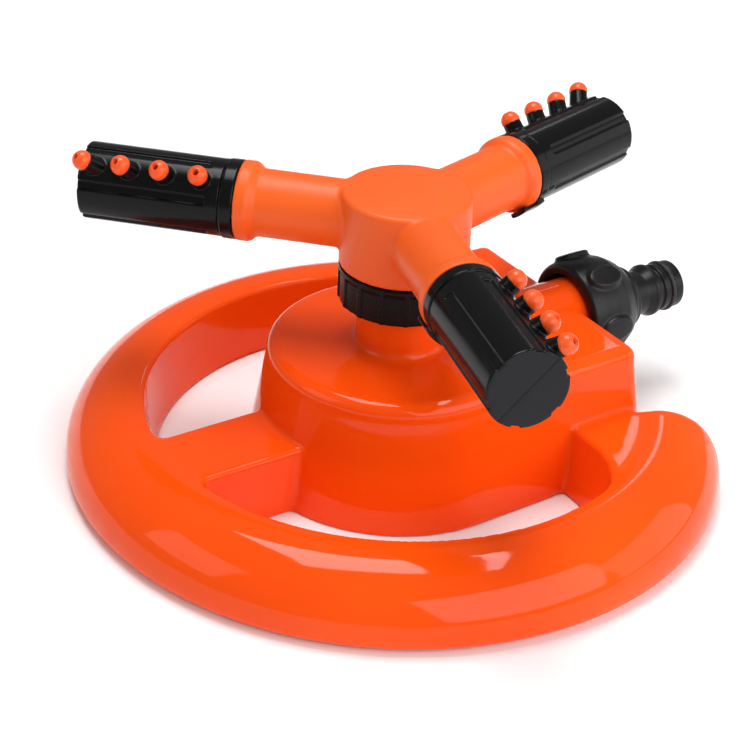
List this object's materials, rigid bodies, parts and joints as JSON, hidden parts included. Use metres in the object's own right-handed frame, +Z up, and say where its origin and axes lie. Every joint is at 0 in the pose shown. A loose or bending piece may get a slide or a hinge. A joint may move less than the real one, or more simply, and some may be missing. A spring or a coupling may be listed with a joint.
{
  "type": "rotary lawn sprinkler",
  "caption": "Rotary lawn sprinkler: arms with turnable spray barrels spin on a swivel over a moulded ring base, fed through a quick-connect hose inlet",
  "frame": {"origin": "where the rotor's axis meets the ground, on the base's centre foot", "axes": "+Z up along the rotor's axis; +X out along the hose inlet; +Y to the left of the inlet"},
  "size_m": [0.2142, 0.2076, 0.0965],
  "materials": {
    "orange_gloss": "moulded, glossy",
    "orange_satin": "moulded, satin",
    "black_abs": "moulded, satin black",
    "black_rubber": "moulded rubber",
    "white_acetal": "natural acetal"
  },
  "bodies": {
    "base": {"base_shell": "orange_gloss", "nut_washer": "black_rubber", "inlet_sieve": "white_acetal", "hose_nipple": "black_abs", "nipple_oring": "black_rubber", "riser_seal": "black_rubber", "thrust_washer": "white_acetal", "swivel_collar": "black_abs"},
    "union_nut": {"inlet_nut": "black_abs"},
    "rotor": {"rotor_head": "orange_satin", "rotor_stem": "white_acetal", "stem_oring": "black_rubber", "journal_oring_1": "black_rubber", "journal_oring_2": "black_rubber", "journal_oring_3": "black_rubber"},
    "spray_1": {"barrel_1": "black_abs", "jet_1_1": "orange_satin", "jet_1_2": "orange_satin", "jet_1_3": "orange_satin", "jet_1_4": "orange_satin"},
    "spray_2": {"barrel_2": "black_abs", "jet_2_1": "orange_satin", "jet_2_2": "orange_satin", "jet_2_3": "orange_satin", "jet_2_4": "orange_satin"},
    "spray_3": {"barrel_3": "black_abs", "jet_3_1": "orange_satin", "jet_3_2": "orange_satin", "jet_3_3": "orange_satin", "jet_3_4": "orange_satin"}
  },
  "joints": [
    {"name": "rotor_spin", "type": "hinge", "parent": "base", "child": "rotor", "pos_m": [0, 0, 0.0688], "axis": [0, 0, 1], "continuous": true},
    {"name": "nut_turn", "type": "hinge", "parent": "base", "child": "union_nut", "pos_m": [0.078, 0, 0.0333], "axis": [1, 0, 0], "continuous": true},
    {"name": "spray_turn_1", "type": "hinge", "parent": "rotor", "child": "spray_1", "pos_m": [0.07244, 0.01941, 0.0823], "axis": [0.9659, 0.2588, 0], "continuous": true},
    {"name": "spray_turn_2", "type": "hinge", "parent": "rotor", "child": "spray_2", "pos_m": [-0.05303, 0.05303, 0.0823], "axis": [-0.7071, 0.7071, 0], "continuous": true},
    {"name": "spray_turn_3", "type": "hinge", "parent": "rotor", "child": "spray_3", "pos_m": [-0.01941, -0.07244, 0.0823], "axis": [-0.2588, -0.9659, 0], "continuous": true}
  ]
}
